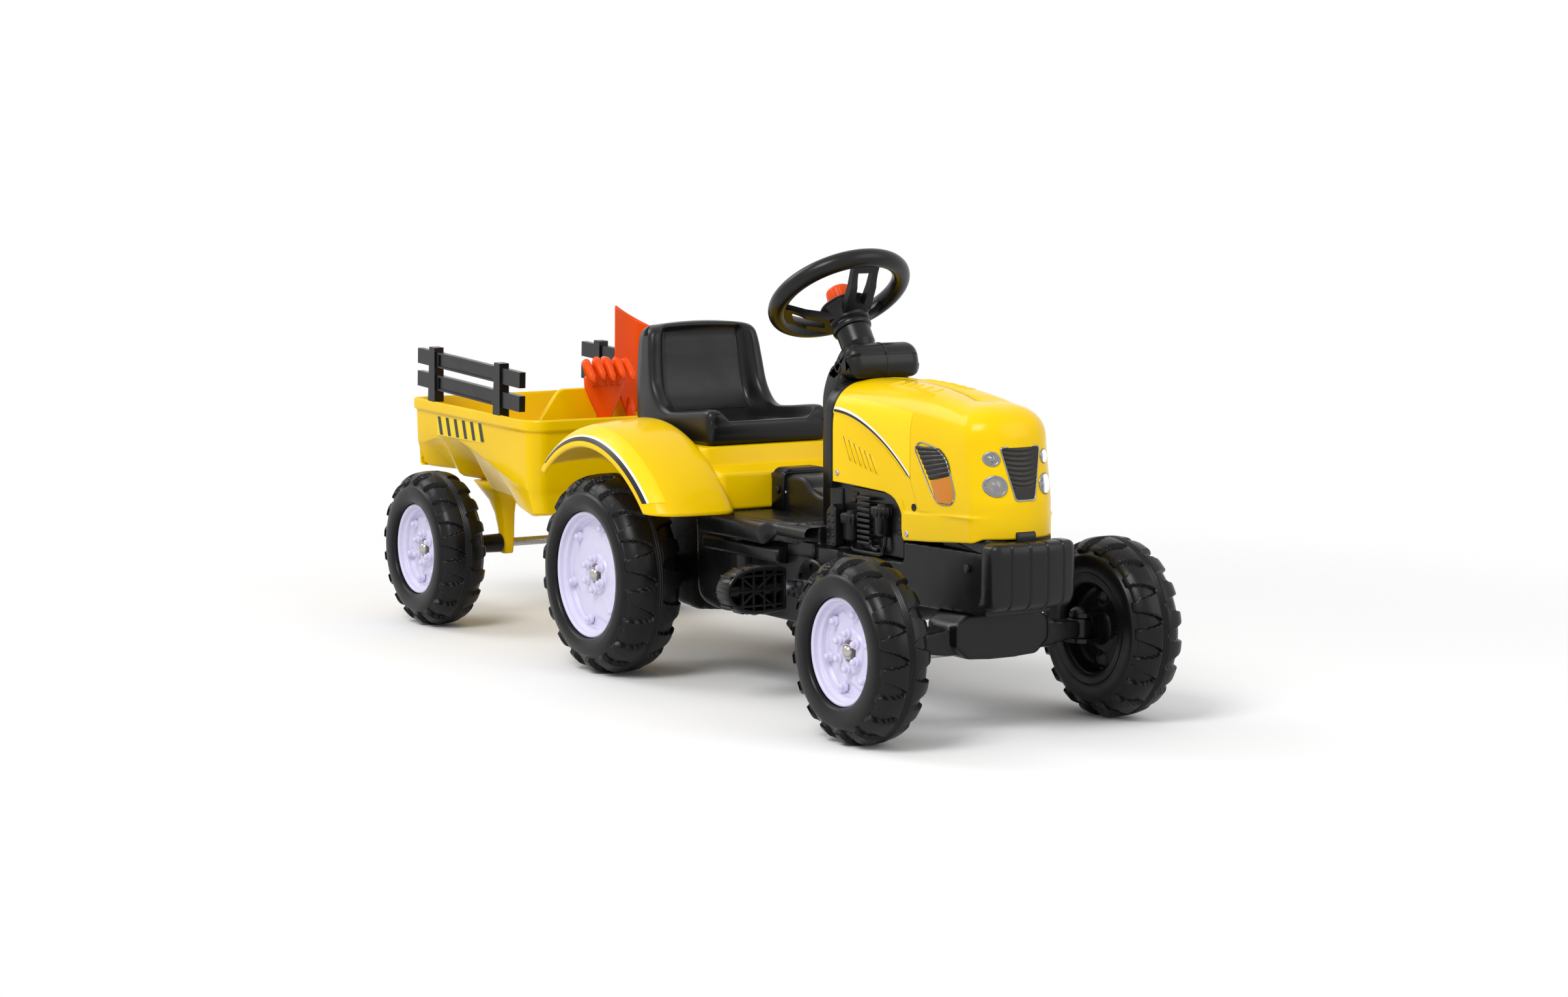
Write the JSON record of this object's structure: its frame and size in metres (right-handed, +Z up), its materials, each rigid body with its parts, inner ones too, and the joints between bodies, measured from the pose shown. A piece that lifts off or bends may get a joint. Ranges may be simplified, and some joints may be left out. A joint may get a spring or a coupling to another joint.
{
  "type": "pedal tractor with trailer",
  "caption": "Child's ride-on pedal tractor with steered front wheels, chain-driven rear axle, bucket seat and a towed tub trailer carrying a rake and a shovel.",
  "frame": {"origin": "on the ground under the middle of the whole toy", "axes": "+X forward, the way it drives; +Y to its left; +Z up"},
  "size_m": [1.326, 0.42, 0.543],
  "materials": {
    "yellow_plastic": "gloss moulded",
    "black_plastic": "satin moulded",
    "tyre_plastic": "matt moulded",
    "white_plastic": "gloss moulded",
    "orange_plastic": "gloss moulded",
    "amber_lens": "clear moulded",
    "clear_lens": "clear moulded",
    "steel": "zinc plated",
    "chrome": "bright plated",
    "grille_plastic": "satin moulded"
  },
  "bodies": {
    "tractor": {"chassis": "black_plastic", "bonnet": "yellow_plastic", "front_bumper": "black_plastic", "dash_cowl": "black_plastic", "rear_body": "yellow_plastic", "seat": "black_plastic", "axle_beam": "black_plastic", "engine_relief": "black_plastic", "crank_covers": "black_plastic", "axle_bushes": "black_plastic", "column_bush": "black_plastic", "lamp_panels": "black_plastic", "indicator_lenses": "amber_lens", "headlamps": "clear_lens", "grille": "grille_plastic", "bonnet_screws": "steel", "tunnel_bolts": "steel", "hitch_bracket": "black_plastic", "hitch_pin": "steel", "chain": "steel"},
    "steering": {"steering_wheel": "black_plastic", "column_sleeve": "black_plastic", "steering_shaft": "steel"},
    "horn": {"horn_button": "orange_plastic"},
    "tie_rod": {"tie_rod": "steel"},
    "knuckle_left": {"knuckle_left": "black_plastic", "kingpin_left": "black_plastic", "front_nut_left": "chrome"},
    "knuckle_right": {"knuckle_right": "black_plastic", "kingpin_right": "black_plastic", "front_nut_right": "chrome"},
    "front_wheel_left": {"front_tyre_left": "tyre_plastic", "front_cap_left": "white_plastic"},
    "front_wheel_right": {"front_tyre_right": "tyre_plastic", "front_cap_right": "white_plastic"},
    "cranks": {"crank_shaft": "steel", "crank_sprocket": "steel"},
    "pedal_left": {"pedal_left": "black_plastic"},
    "pedal_right": {"pedal_right": "black_plastic"},
    "rear_drive": {"rear_axle": "steel", "axle_sprocket": "steel", "rear_nuts": "chrome", "rear_tyre_right": "tyre_plastic", "rear_cap_right": "white_plastic"},
    "rear_wheel_left": {"rear_tyre_left": "tyre_plastic", "rear_cap_left": "white_plastic"},
    "trailer": {"trailer_tub": "yellow_plastic", "fence_left": "black_plastic", "fence_right": "black_plastic", "drawbar": "black_plastic", "trailer_axle": "steel", "trailer_sleeves": "black_plastic", "trailer_nuts": "chrome"},
    "trailer_wheel_left": {"trailer_tyre_left": "tyre_plastic", "trailer_cap_left": "white_plastic"},
    "trailer_wheel_right": {"trailer_tyre_right": "tyre_plastic", "trailer_cap_right": "white_plastic"},
    "rake": {"rake": "orange_plastic"},
    "shovel": {"shovel": "orange_plastic"}
  },
  "joints": [
    {"name": "steering_turn", "type": "hinge", "parent": "tractor", "child": "steering", "pos_m": [0.239, 0, 0.486], "axis": [-0.5821, 0, 0.8131], "range_deg": [-35, 35]},
    {"name": "horn_press", "type": "slide", "parent": "steering", "child": "horn", "axis": [0.5821, 0, -0.8131], "range_m": [0, 0.003], "stiffness_N_per_m": 600, "springref_m": -0.001},
    {"name": "knuckle_left_turn", "type": "hinge", "parent": "tractor", "child": "knuckle_left", "pos_m": [0.557, 0.13, 0.108], "axis": [0, 0, 1], "range_deg": [-22, 22]},
    {"name": "knuckle_right_turn", "type": "hinge", "parent": "tractor", "child": "knuckle_right", "pos_m": [0.557, -0.13, 0.108], "axis": [0, 0, 1], "range_deg": [-22, 22]},
    {"name": "tie_rod_slide", "type": "slide", "parent": "tractor", "child": "tie_rod", "axis": [0, 1, 0], "range_m": [-0.0173, 0.0173]},
    {"name": "front_wheel_left_roll", "type": "hinge", "parent": "knuckle_left", "child": "front_wheel_left", "pos_m": [0.557, 0.175, 0.106], "axis": [0, 1, 0], "continuous": true},
    {"name": "front_wheel_right_roll", "type": "hinge", "parent": "knuckle_right", "child": "front_wheel_right", "pos_m": [0.557, -0.175, 0.106], "axis": [0, 1, 0], "continuous": true},
    {"name": "rear_drive_roll", "type": "hinge", "parent": "tractor", "child": "rear_drive", "pos_m": [-0.032, 0, 0.126], "axis": [0, 1, 0], "continuous": true},
    {"name": "rear_wheel_left_roll", "type": "hinge", "parent": "rear_drive", "child": "rear_wheel_left", "pos_m": [-0.032, 0.167, 0.126], "axis": [0, 1, 0], "continuous": true},
    {"name": "crank_turn", "type": "hinge", "parent": "tractor", "child": "cranks", "pos_m": [0.316, 0, 0.139], "axis": [0, 1, 0], "continuous": true, "deforming": ["chain"]},
    {"name": "pedal_left_spin", "type": "hinge", "parent": "cranks", "child": "pedal_left", "pos_m": [0.357, 0.15, 0.139], "axis": [0, 1, 0], "continuous": true},
    {"name": "pedal_right_spin", "type": "hinge", "parent": "cranks", "child": "pedal_right", "pos_m": [0.275, -0.15, 0.139], "axis": [0, 1, 0], "continuous": true},
    {"name": "trailer_yaw", "type": "hinge", "parent": "tractor", "child": "trailer", "pos_m": [-0.197, 0, 0.15], "axis": [0, 0, 1], "range_deg": [-30, 30]},
    {"name": "trailer_wheel_left_roll", "type": "hinge", "parent": "trailer", "child": "trailer_wheel_left", "pos_m": [-0.522, 0.175, 0.106], "axis": [0, 1, 0], "continuous": true},
    {"name": "trailer_wheel_right_roll", "type": "hinge", "parent": "trailer", "child": "trailer_wheel_right", "pos_m": [-0.522, -0.175, 0.106], "axis": [0, 1, 0], "continuous": true},
    {"name": "rake_lift", "type": "slide", "parent": "trailer", "child": "rake", "axis": [0, 0, 1], "range_m": [0, 0.15]},
    {"name": "shovel_lift", "type": "slide", "parent": "trailer", "child": "shovel", "axis": [0, 0, 1], "range_m": [0, 0.15]}
  ],
  "couplings": [
    {"joint": "knuckle_left_turn", "follows": "steering_turn", "ratio": 0.62857},
    {"joint": "knuckle_right_turn", "follows": "steering_turn", "ratio": 0.62857},
    {"joint": "tie_rod_slide", "follows": "steering_turn", "m_per_rad": -0.02832},
    {"joint": "crank_turn", "follows": "rear_drive_roll", "ratio": 0.73333}
  ]
}
